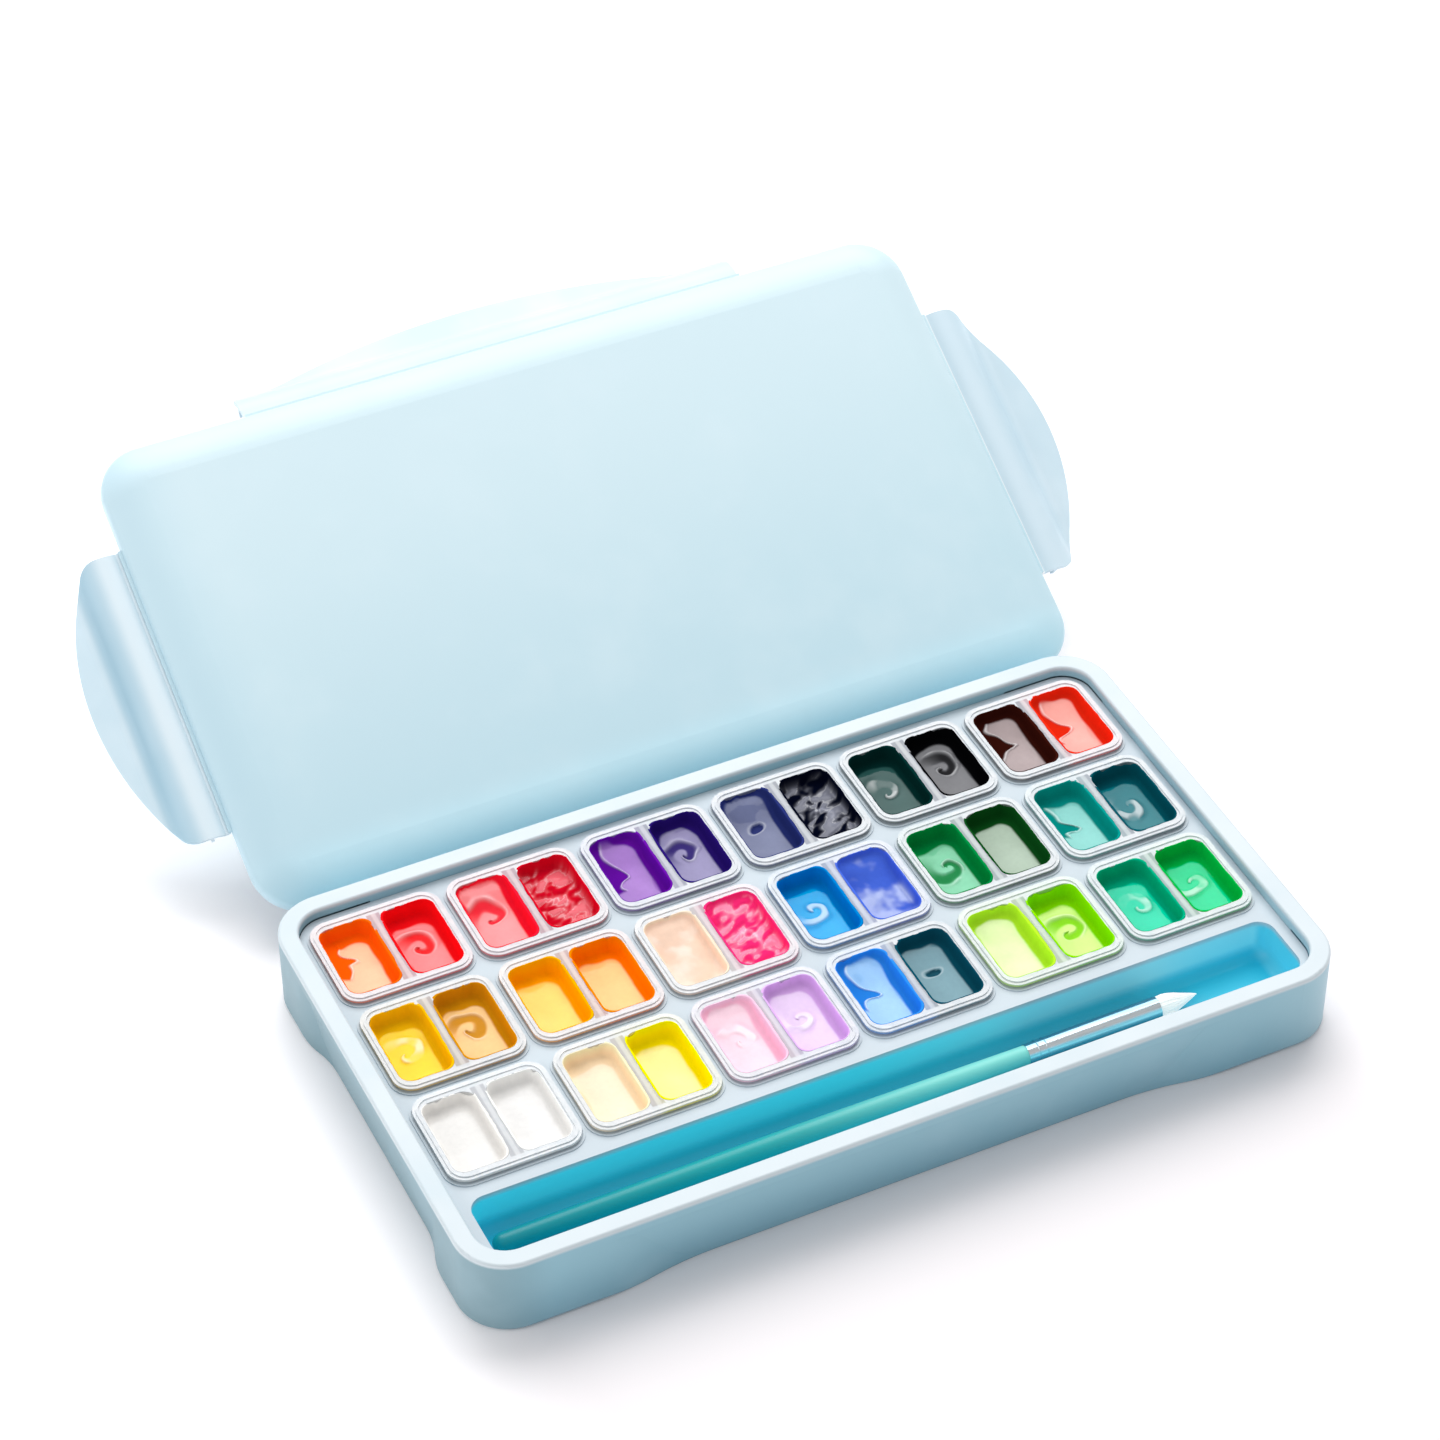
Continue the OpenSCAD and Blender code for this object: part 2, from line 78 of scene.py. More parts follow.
# The photo's camera, fitted to the cups' edges and the rim's outer edges.
VIEW_ANGLES = (-25.6848, 41.7681, -0.1424)  # azimuth, elevation and roll, in degrees
VIEW_TARGET = (0.0239125, 0.1135908, 0.0285)
VIEW_DISTANCE = 1.5558282
FOCAL_PIXELS, PHOTO_PIXELS = 4378.77, 1440
SENSOR = 36.0

WORLD_STRENGTH = 0.54
FLOOR_REACH = 6.0
FLOOR_Z = -0.0002  # just under the object, so that the two faces don't share a plane


# ---- shaders ----

def srgb(text):
    """A colour written as #rrggbb, as linear red, green, blue."""
    parts = [int(text[i:i + 2], 16) / 255 for i in (1, 3, 5)]
    return tuple(p / 12.92 if p <= 0.04045 else ((p + 0.055) / 1.055) ** 2.4 for p in parts)


class Value:
    """A number or colour inside a material's node tree, with the usual operators."""

    def __init__(self, finish, socket):
        self.finish, self.socket = finish, socket

    def math(self, operation, *others):
        node = self.finish.node("ShaderNodeMath", operation=operation)
        for socket, value in zip(node.inputs, (self,) + others):
            self.finish.feed(socket, value)
        return Value(self.finish, node.outputs[0])

    def __add__(self, other): return self.math("ADD", other)
    def __sub__(self, other): return self.math("SUBTRACT", other)
    def __mul__(self, other): return self.math("MULTIPLY", other)
    def __pow__(self, other): return self.math("POWER", other)
    __radd__, __rmul__ = __add__, __mul__
    def __rsub__(self, other): return (self * -1.0) + other
    def __neg__(self): return self * -1.0
    def __abs__(self): return self.math("ABSOLUTE")
    def high(self, other): return self.math("MAXIMUM", other)

    def step(self, start, end, low=0.0, high=1.0):
        """Runs smoothly from low to high as the value goes from start to end."""
        node = self.finish.node("ShaderNodeMapRange", interpolation_type="SMOOTHSTEP")
        for name, value in (("Value", self), ("From Min", start), ("From Max", end),
                            ("To Min", low), ("To Max", high)):
            self.finish.feed(node.inputs[name], value)
        return Value(self.finish, node.outputs["Result"])


class Finish:
    """A procedural material around one Principled shader."""

    def __init__(self, name, **constants):
        self.material = bpy.data.materials.new(name)
        self.material.use_nodes = True
        self.tree = self.material.node_tree
        self.shader = next(n for n in self.tree.nodes if n.type == "BSDF_PRINCIPLED")
        self.point = None
        for key, value in constants.items():
            self.shader.inputs[key.replace("_", " ")].default_value = value

    def node(self, kind, **settings):
        made = self.tree.nodes.new(kind)
        for key, value in settings.items():
            setattr(made, key, value)
        return made

    def feed(self, socket, value):
        if isinstance(value, Value):
            self.tree.links.new(value.socket, socket)
        elif isinstance(value, str):
            socket.default_value = srgb(value) + (1.0,)
        else:
            socket.default_value = value

    def here(self):
        """The point's place in the object's frame, in metres, as x, y, z."""
        if self.point is None:
            coords = self.node("ShaderNodeTexCoord")
            split = self.node("ShaderNodeSeparateXYZ")
            self.tree.links.new(coords.outputs["Object"], split.inputs[0])
            self.object_coords = coords.outputs["Object"]
            self.point = tuple(Value(self, split.outputs[i]) for i in range(3))
        return self.point

    def noise(self, scale, detail=2.0, rough=0.5, stretch=(1, 1, 1), shift=(0, 0, 0)):
        """Noise with so many features a metre, from 0 to 1, stretched along the axes."""
        self.here()
        mapping = self.node("ShaderNodeMapping")
        self.tree.links.new(self.object_coords, mapping.inputs["Vector"])
        mapping.inputs["Scale"].default_value = stretch
        mapping.inputs["Location"].default_value = shift
        made = self.node("ShaderNodeTexNoise")
        self.tree.links.new(mapping.outputs[0], made.inputs["Vector"])
        made.inputs["Scale"].default_value = scale
        made.inputs["Detail"].default_value = detail
        made.inputs["Roughness"].default_value = rough
        return Value(self, made.outputs["Fac"])

    def attribute(self, name, kind="Fac"):
        made = self.node("ShaderNodeAttribute", attribute_name=name)
        return Value(self, made.outputs[kind])

    def mix(self, a, b, share):
        made = self.node("ShaderNodeMix", data_type="RGBA")
        self.feed(made.inputs["Factor"], share)
        self.feed(made.inputs[6], a)
        self.feed(made.inputs[7], b)
        return Value(self, made.outputs[2])

    def tint(self, colour, hue=0.5, saturation=1.0, value=1.0):
        made = self.node("ShaderNodeHueSaturation")
        self.feed(made.inputs["Color"], colour)
        self.feed(made.inputs["Hue"], hue)
        self.feed(made.inputs["Saturation"], saturation)
        self.feed(made.inputs["Value"], value)
        return Value(self, made.outputs[0])

    def edge(self, blend=0.5):
        """0 where the surface faces the eye, rising to 1 at its outline."""
        made = self.node("ShaderNodeLayerWeight")
        made.inputs["Blend"].default_value = blend
        return Value(self, made.outputs["Facing"])

    def colour(self, value): self.feed(self.shader.inputs["Base Color"], value)
    def rough(self, value): self.feed(self.shader.inputs["Roughness"], value)
    def alpha(self, value): self.feed(self.shader.inputs["Alpha"], value)

    def bump(self, height, distance, strength=1.0):
        made = self.node("ShaderNodeBump")
        made.inputs["Distance"].default_value = distance
        made.inputs["Strength"].default_value = strength
        self.feed(made.inputs["Height"], height)
        self.tree.links.new(made.outputs[0], self.shader.inputs["Normal"])

    def on(self, *objects):
        for o in objects:
            o.data.materials.clear()
            o.data.materials.append(self.material)
        return self


def lid_point(finish):
    """The point's place in the lid's own frame, in millimetres: across, up, and out of it."""
    x, y, z = finish.here()
    x, y, z = x * 1000 - LID_ORIGIN[0], y * 1000 - LID_ORIGIN[1], z * 1000 - LID_ORIGIN[2]
    c, s = math.cos(LID_LEAN), math.sin(LID_LEAN)
    return x, y * c + z * s, z * c - y * s


def moulded(finish, grain=0.00004, low=0.38, high=0.5):
    """The fine grain and the slight unevenness of moulded polypropylene."""
    fine = finish.noise(2600, 3, 0.6)
    broad = finish.noise(26, 3, 0.55)
    finish.rough(broad.step(0.3, 0.7, low, high) + fine * 0.04)
    finish.bump(fine + broad * 3.0, grain, 0.35)
    return broad, fine


def lid_finish():
    f = Finish("lid_plastic", Coat_Weight=0.12, Coat_Roughness=0.25, Specular_IOR_Level=0.45)
    u, v, w = lid_point(f)
    broad, fine = moulded(f)
    # Painted shade: the lid darker and bluer towards its lower edge.
    base = f.mix("#d2e8ef", "#c4e1eb", v.step(70, -85))
    base = f.mix(base, "#d9ecf3", broad.step(0.45, 0.75, 0.0, 0.3))
    # Painted light: a lighter cyan on the lower shoulder.
    low = v.step(-66, -90) * w.step(1.0, 6.5)
    base = f.mix(base, "#c8f2fe", low * 0.85)
    # Painted shade along the lid's left edge.
    side = u.step(-128, -156)
    f.colour(f.mix(base, "#bfdde9", side * 0.6))
    return f


def flap_finish(side):
    """A flap's plastic, with a painted highlight on the crest next to the hinge, painted shade
    along the valley, and a painted highlight along the hinge line.
    """
    f = Finish(f"flap_plastic_{side}", Coat_Weight=0.12, Coat_Roughness=0.25,
               Specular_IOR_Level=0.45)
    u, v, w = lid_point(f)
    # How far the point lies outside the flap's hinge.
    out = {"left": -u - 160.3, "right": u - 160.3,
           "back": (v - 92.3) * 1.4, "front": -v - 70.0}[side]
    # How strong the painted shade along the valley is on each flap.
    valley_shade = {"left": 0.8, "right": 0.15, "back": 0.15, "front": 0.2}[side]
    broad, fine = moulded(f)
    base = f.mix("#d8eaf3", "#cfe4ee", broad.step(0.35, 0.65))
    # Painted highlight on the crest.
    crest = out.step(0.0, 4.0) * out.step(12.0, 7.0)
    base = f.mix(base, "#e6f2f8" if side == "left" else "#d3e6f0", crest * 0.7)
    # Painted shade along the valley.
    valley = out.step(6.5, 15.0) * out.step(19.5, 16.0)
    base = f.mix(base, "#a0c6d8", valley * valley_shade)
    # Painted highlight along the hinge line, strongest on the right flap.
    hinge = out.step(-1.6, -0.9) * out.step(1.4, 0.7)
    f.colour(f.mix(base, "#ffffff", hinge * (0.9 if side == "right" else 0.2)))
    return f


def tub_finish():
    f = Finish("tub_plastic", Coat_Weight=0.1, Coat_Roughness=0.25, Specular_IOR_Level=0.45)
    x, y, z = f.here()
    broad, fine = moulded(f)
    # Painted shade: the walls darker towards the bottom.
    wall = f.mix("#82b2c4", "#96c4d3", z.step(0.0, 0.026))
    # Painted shade on the left wall, and painted light on the right wall.
    wall = f.mix(wall, "#809fa9", x.step(-0.13, -0.157) * 0.95)
    wall = f.mix(wall, "#a8ccd8", x.step(0.12, 0.157) * 0.7)
    # Painted light on the rim's up-facing top.
    wall = f.mix(wall, "#d3dde2", z.step(0.0288, 0.0302))
    f.colour(f.mix(wall, "#bcd9e5", broad.step(0.45, 0.75, 0.0, 0.2)))
    return f


def tray_finish():
    """Pale plastic. The trough is a saturated cyan, with a painted glow for the light its thin
    walls let through, a painted shadow behind the brush, and its wall painted lighter towards the
    right.
    """
    f = Finish("tray_plastic", Coat_Weight=0.12, Coat_Roughness=0.2, Specular_IOR_Level=0.45)
    f.shader.inputs["Emission Strength"].default_value = 1.0
    x, y, z = f.here()
    broad, fine = moulded(f)
    deck = f.mix("#bfcbd3", "#c8d4dc", broad.step(0.35, 0.7))
    # Painted light: the trough's wall paler towards the right.
    wall = f.mix("#48dcec", "#a0e0ea", x.step(-0.02, 0.1))
    deep = f.mix(wall, "#04bad6", z.step(0.0175, 0.0125))
    deep = f.mix(deep, "#50c4dc", x.step(0.1425, 0.1455))
    inside = z.step(0.0262, 0.0235) * y.step(-0.0545, -0.0556)
    # Painted shadow of the brush on the trough's floor.
    behind_brush = x.step(-0.03, 0.06) * x.step(0.12, 0.1)
    shade = z.step(0.0165, 0.013) * y.step(-0.057, -0.0625) * behind_brush
    deep = f.mix(deep, "#0a5c78", shade * 0.8)
    f.colour(f.mix(deck, deep, inside))
    # A painted glow in the trough, for the light its thin walls let through.
    lit = f.mix("#1c6876", "#266470", x.step(-0.02, 0.1))
    glow = f.mix("#000000", lit, inside * z.step(0.0115, 0.0165, 0.35, 1.0))
    f.feed(f.shader.inputs["Emission Color"], glow)
    return f


def cup_finish(row, column):
    """Clear, slightly milky plastic. Low on its edge, and faintly all over, a painted reflection of
    the paint inside, which also stands for the paint seen through it. The divider's top is a darker
    grey, with a painted highlight along its crown.
    """
    f = Finish(f"cup_plastic_r{row}c{column}", Coat_Weight=0.0, Specular_IOR_Level=0.6, IOR=1.49)
    x, y, z = f.here()
    scratch = f.noise(300, 3, 0.55, (1, 1, 0.3))
    body = f.mix("#f3f6f9", "#e6edf2", scratch.step(0.35, 0.7))
    left, right = [paint[0] for paint in PAINTS[row, column]]
    middle = (column - (COLUMNS + 1) / 2) * PITCH_X * MM
    centre = (GRID_Y - (row - (ROWS + 1) / 2) * PITCH_Y) * MM
    # Painted reflection of the paint inside, strongest low on the flange's edge.
    through = f.mix(left, right, x.step(middle - 0.002, middle + 0.002))
    # The divider's top darker grey, with a painted highlight along its crown.
    rib = abs(x - middle).step(0.0026, 0.0021) * abs(y - centre).step(0.0172, 0.0164)
    crown = abs(x - middle - 0.0002).step(0.0012, 0.0004)
    body = f.mix(body, "#9da2b0", rib * (0.75 - crown * 0.6))
    body = f.mix(body, through, z.step(0.0284, 0.0279) * 0.7 + rib * 0.2 + 0.08)
    f.colour(body)
    f.rough(scratch.step(0.3, 0.8, 0.05, 0.14))
    f.alpha(f.edge(0.45).step(0.0, 1.0, 0.7, 0.95))
    f.bump(scratch, 0.00004, 0.2)
    return f


def gouache_finish():
    """Wet gouache. Its colour attribute holds the paint's own colour with painted sheen and painted
    highlights in it, and wet is where it shines.
    """
    f = Finish("gouache", Specular_IOR_Level=0.0, Coat_Roughness=0.05)
    pigment_and_painted_light = f.attribute("pigment_and_painted_light", "Color")
    wet = f.attribute("wet")
    streak = f.noise(500, 3, 0.6, (1, 1, 0.35))
    f.colour(f.tint(pigment_and_painted_light, 0.5, 1.0, streak.step(0.2, 0.8, 0.97, 1.03)))
    f.rough(streak.step(0.3, 0.8, 0.25, 0.4))
    f.feed(f.shader.inputs["Coat Weight"], wet)
    f.bump(streak, 0.00004, 0.3)
    return f


def handle_finish():
    f = Finish("handle_lacquer", Coat_Weight=0.15, Coat_Roughness=0.3, Specular_IOR_Level=0.25)
    x, y, z = f.here()
    grain = f.noise(60, 4, 0.6, (0.15, 1, 1))
    teal = f.mix("#088e96", "#20a6a6", x.step(-0.14, -0.05))
    teal = f.mix(teal, "#86dcd2", x.step(-0.06, 0.045))
    f.colour(f.mix(teal, "#0c7780", grain.step(0.55, 0.85, 0.0, 0.2)))
    f.rough(grain.step(0.3, 0.7, 0.35, 0.45))
    f.bump(grain, 0.00005, 0.3)
    return f


def ferrule_finish():
    f = Finish("ferrule_metal", Metallic=1.0)
    x, y, z = f.here()
    drawn = f.noise(900, 3, 0.6, (0.04, 1, 1))
    metal = f.mix("#eef2f4", "#d3dce0", drawn.step(0.3, 0.7))
    # A painted reflection of the dark trough along the ferrule's back.
    axis = BRUSH_Y + BRUSH_Z * 0.8
    back = (y + z * 0.8).step((axis + 1.2) * MM, (axis + 2.6) * MM)
    f.colour(f.mix(metal, "#4f8ba6", back * 0.8))
    f.rough(drawn.step(0.3, 0.7, 0.14, 0.26))
    f.bump(drawn, 0.00003, 0.4)
    return f


def hair_finish():
    # A painted glow lifts the shade the strands cast on each other.
    f = Finish("bristles", Specular_IOR_Level=0.4, Emission_Color=(0.25, 0.25, 0.25, 1),
               Emission_Strength=1.0)
    strand = f.noise(3000, 2, 0.5, (0.03, 1, 1))
    f.colour(f.mix("#fdfdfb", "#eeeeea", strand.step(0.35, 0.7)))
    f.rough(strand.step(0.3, 0.7, 0.35, 0.5))
    return f


def gasket_finish():
    f = Finish("gasket", Specular_IOR_Level=0.3)
    speck = f.noise(900, 3, 0.6)
    f.colour(f.mix("#e7ecee", "#dbe2e6", speck.step(0.35, 0.7)))
    f.rough(speck.step(0.3, 0.7, 0.5, 0.65))
    f.bump(speck, 0.00005, 0.3)
    return f


# ---- meshes ----

def add_mesh(name, points, faces):
    mesh = bpy.data.meshes.new(name)
    mesh.from_pydata([tuple(p) for p in points], [], [tuple(int(i) for i in f) for f in faces])
    mesh.validate()
    mesh.update()
    for polygon in mesh.polygons:
        polygon.use_smooth = True
    made = bpy.data.objects.new(name, mesh)
    bpy.context.scene.collection.objects.link(made)
    return made


def set_attribute(o, name, values, kind="FLOAT"):
    attribute = o.data.attributes.new(name, kind, "POINT")
    field = "color" if kind == "FLOAT_COLOR" else "value"
    attribute.data.foreach_set(field, np.asarray(values, np.float32).ravel())


def room_outline(count, inset=0.0):
    """Points round one compartment's inside, evenly spaced and anticlockwise."""
    w, d = ROOM_W / 2 - inset, ROOM_D / 2 - inset
    r = max(ROOM_R - inset, 0.3)
    points = []
    for cx, cy, start in ((w - r, d - r, 0), (-w + r, d - r, 90),
                          (-w + r, -d + r, 180), (w - r, -d + r, 270)):
        for i in range(13):
            a = math.radians(start + 90 * i / 12)
            points.append((cx + r * math.cos(a), cy + r * math.sin(a)))
    points = np.array(points + points[:1])
    steps = np.r_[0, np.cumsum(np.hypot(*np.diff(points, axis=0).T))]
    at = np.linspace(0, steps[-1], count, endpoint=False)
    return np.c_[np.interp(at, steps, points[:, 0]), np.interp(at, steps, points[:, 1])]


# How each compartment of paint was left by the knife that filled it: its own colour, the colour
# painted on its wet pool as the sheen of the light it reflects, the style of that surface, its
# level below the flange, and how high it is banked up against the back wall, in millimetres.
#   curl: a turned groove    streak: a turned ridge    wave: a fold from one side
#   calm: level    eye: level, with a dimple    rough: torn strokes    cloud: a thick, uneven skin
PAINTS = {
    (1, 1): (("#fb6208", "#fecfa5", "wave", 5.7, 0.0), ("#ec1018", "#fe8a8c", "curl", 5.7, 0.0)),
    (1, 2): (("#ee1830", "#fb9c9e", "curl", 5.3, 3.2), ("#cc0824", "#ee7480", "rough", 4.9, 0.0)),
    (1, 3): (("#64109c", "#ac7ccc", "wave", 5.7, 2.4), ("#28146c", "#9a92bc", "curl", 5.7, 1.0)),
    (1, 4): (("#26306c", "#747b9c", "eye", 5.3, 3.4), ("#04081a", "#8c8e9c", "rough", 4.7, 0.0)),
    (1, 5): (("#042c2a", "#2c5854", "streak", 5.5, 0.0), ("#060608", "#747478", "curl", 5.5, 1.0)),
    (1, 6): (("#34100a", "#b4a2a2", "wave", 5.7, 2.0), ("#e02a12", "#fab4a8", "wave", 5.7, 2.4)),
    (2, 1): (("#e4b008", "#fcdc08", "streak", 5.7, 0.0), ("#cc8a0c", "#fad08c", "curl", 5.5, 0.0)),
    (2, 2): (("#ffa400", "#ffdf70", "calm", 6.1, 0.0), ("#ff7e00", "#ffd68c", "calm", 5.9, 0.0)),
    (2, 3): (("#f2d2bc", "#f6e0d0", "cloud", 4.0, 2.0), ("#f22c74", "#fca0c0", "rough", 4.0, 2.0)),
    (2, 4): (("#0078c0", "#00b0ea", "streak", 5.7, 0.0), ("#4464cc", "#a8b6e4", "cloud", 4.4, 2.0)),
    (2, 5): (("#00803c", "#86d8b0", "curl", 5.7, 0.0), ("#0c4818", "#b0c4b0", "calm", 5.2, 0.0)),
    (2, 6): (("#048c84", "#8ed8d0", "wave", 5.5, 0.0), ("#04505c", "#087c86", "streak", 5.5, 0.0)),
    (3, 1): (("#e4e1dd", "#e9e7e4", "calm", 4.6, 0.0), ("#e6e4e1", "#ebe9e7", "calm", 4.6, 0.0)),
    (3, 2): (("#f6dcb8", "#faead0", "calm", 5.0, 0.0), ("#f4de00", "#fcefa4", "calm", 5.9, 0.0)),
    (3, 3): (("#f6bcd2", "#f9dde7", "streak", 4.9, 2.6),
            ("#d2a8e0", "#ead4f0", "streak", 4.9, 1.0)),
    (3, 4): (("#2a84dc", "#a8d6fa", "wave", 5.3, 2.6), ("#0a4a5c", "#7aa4b0", "eye", 5.5, 1.0)),
    (3, 5): (("#b0e02c", "#eef9c4", "calm", 5.3, 1.6), ("#84d400", "#dcf88c", "curl", 5.7, 0.0)),
    (3, 6): (("#00a078", "#00dcb0", "streak", 5.7, 0.0),
            ("#00ac44", "#08dc9c", "streak", 5.5, 0.0)),
}


def soft(value, start, end):
    """Runs smoothly from 0 at start to 1 at end."""
    t = np.clip((value - start) / (end - start), 0, 1)
    return t * t * (3 - 2 * t)


def speckle(x, y, scale, seed, octaves=1):
    """Smooth noise about 0, with so many features a millimetre."""
    total = np.zeros_like(x)
    for k in range(octaves):
        s = scale * 2 ** k
        layer = [noise.noise((a * s + seed, b * s, seed * 1.7 + k)) for a, b in zip(x, y)]
        total += np.array(layer) / 2 ** k
    return total


def paint_surface(x, y, style, bank, seed):
    """At points of a compartment: the paint's height over its level in millimetres, how much of the
    painted sheen of the pool of light it shows, how strong the painted highlight on its ridges is,
    and how much it shines."""
    rng = random.Random(seed)
    w, d = ROOM_W / 2, ROOM_D / 2
    warp = speckle(x, y, 0.13, seed + 11.3)
    warp_2 = speckle(x, y, 0.13, seed + 47.9)
    wx, wy = x + 2.0 * warp, y + 2.0 * warp_2
    # The pool of light keeps off the right wall, and off the back wall where no paint is banked.
    off_back = 4.6 - 1.3 * min(bank, BANK_FOLLOWED)
    qx = np.abs(x + 2.0 * warp * soft(-x, -5.0, 3.0) + 0.5 * warp + 0.8) - (w - 6.2)
    qy = np.abs(wy + 0.5 * off_back - 0.5) - (d - 0.5 * off_back - 4.7)
    inside = np.minimum(np.maximum(qx, qy), 0)
    away = np.hypot(np.maximum(qx, 0), np.maximum(qy, 0)) + inside - 4.2
    light_pool = soft(away, 0.55, -0.55)
    height = 0.35 * warp
    # Painted sheen: the share of the pool of light's colour, a little stronger towards the front.
    # Light is a painted highlight.
    painted_sheen, light = light_pool * (0.82 + 0.18 * soft(wy, 10.0, -10.0)), np.zeros_like(x)
    if style in ("curl", "streak"):
        hand, turn = rng.choice((-1, 1, 1)), rng.uniform(2.2, 3.6)
        size = rng.uniform(7.4, 9.0)
        dx, dy = wx - rng.uniform(-1.6, 0.2), wy - rng.uniform(0.0, 3.0)
        r = np.hypot(dx, dy)
        phi = np.mod(hand * (np.arctan2(dy, dx) - turn), 2 * math.pi)
        stroke, ridge = np.zeros_like(x), np.zeros_like(x)
        for lap in (0, 1):
            theta = phi + 2 * math.pi * lap
            arm = size * (0.02 + 0.125 * theta)
            width = size * (0.085 + 0.034 * theta)
            length = soft(theta, 7.4, 5.2)
            stroke = np.maximum(stroke, np.exp(-((r - arm) / width) ** 6) * length)
            crest = (r - arm - 1.3 * width) / (0.34 * width + 0.12)
            ridge = np.maximum(ridge, np.exp(-crest ** 2) * length)
        ridge = ridge * np.clip(0.55 + 1.3 * speckle(x, y, 0.17, seed + 5.1), 0, 1)
        if style == "curl":
            height = height - 0.5 * stroke + 0.55 * ridge
            light = 0.6 * ridge * light_pool
            painted_sheen = painted_sheen * (1 - 0.92 * stroke)
        else:
            shine = stroke ** 3 * np.clip(0.7 + 1.5 * speckle(x, y, 0.2, seed + 5.1), 0.15, 1)
            height = height + 0.5 * shine
            light = 0.85 * shine * soft(away, 1.2, 0.0)
            painted_sheen = np.maximum(painted_sheen * (1 - 0.4 * ridge), light)
    elif style == "wave":
        sway, far, broad = rng.uniform(-2.0, 3.0), rng.uniform(4.6, 6.8), rng.uniform(2.4, 3.4)
        dip = wy - 1.5 + rng.uniform(0.1, 0.5) * wx
        ripple = 1.2 * np.sin((wy + sway) / rng.uniform(1.8, 2.6))
        reach = -4.8 + far * np.exp(-((dip - sway) / broad) ** 2) + ripple
        lower = soft(dip, -7.2, -9.0)
        painted_sheen = painted_sheen * np.maximum(soft(wx - reach, -0.3, 0.35), lower)
        ridge = np.exp(-((wx - reach - 0.5) / 0.5) ** 2) * (1 - lower)
        height = height + 0.5 * ridge
        light = 0.7 * ridge * light_pool
    elif style == "eye":
        r = np.hypot((wx + 0.4) / 2.7, (wy - 3.4) / 1.6)
        height = height - 0.8 * soft(r, 1.2, 0.6)
        painted_sheen = painted_sheen * (1 - 0.95 * soft(r, 1.08, 0.92))
        light = 0.35 * np.exp(-((r - 1.35) / 0.18) ** 2) * light_pool
    elif style == "rough":
        along, across = 0.9 * x + 0.45 * y, 0.9 * y - 0.45 * x
        lumps = speckle(0.16 * along + 0.5 * warp, 0.3 * across + 0.5 * warp_2, 1.0, seed, 2)
        swirl = np.hypot(wx + 1.0, wy + 3.0)
        ring = np.exp(-((swirl - 4.6) / 0.8) ** 2) * soft(wx + wy, -9.0, -2.0)
        height = 0.5 * warp + 0.9 * np.abs(lumps) + 0.4 * ring
        edge = soft(np.maximum(np.abs(x) / w, np.abs(y) / d), 1.0, 0.86)
        painted_sheen = np.clip(soft(lumps, -0.3, 0.35) * 0.75 + 0.5 * ring, 0, 1) * edge
        light = 0.6 * np.exp(-((lumps - 0.12) / 0.05) ** 2) * edge
    elif style == "cloud":
        lumps = speckle(x, y, 0.11, seed, 3) - 0.5 * y / d
        height = 0.5 * warp + 0.2 * np.abs(lumps)
        painted_sheen = soft(lumps, -0.35, 0.55) * soft(np.maximum(np.abs(x) / w, np.abs(y) / d), 1.0, 0.86)
    return height, painted_sheen, light, np.clip(painted_sheen, 0, 1) * 0.4


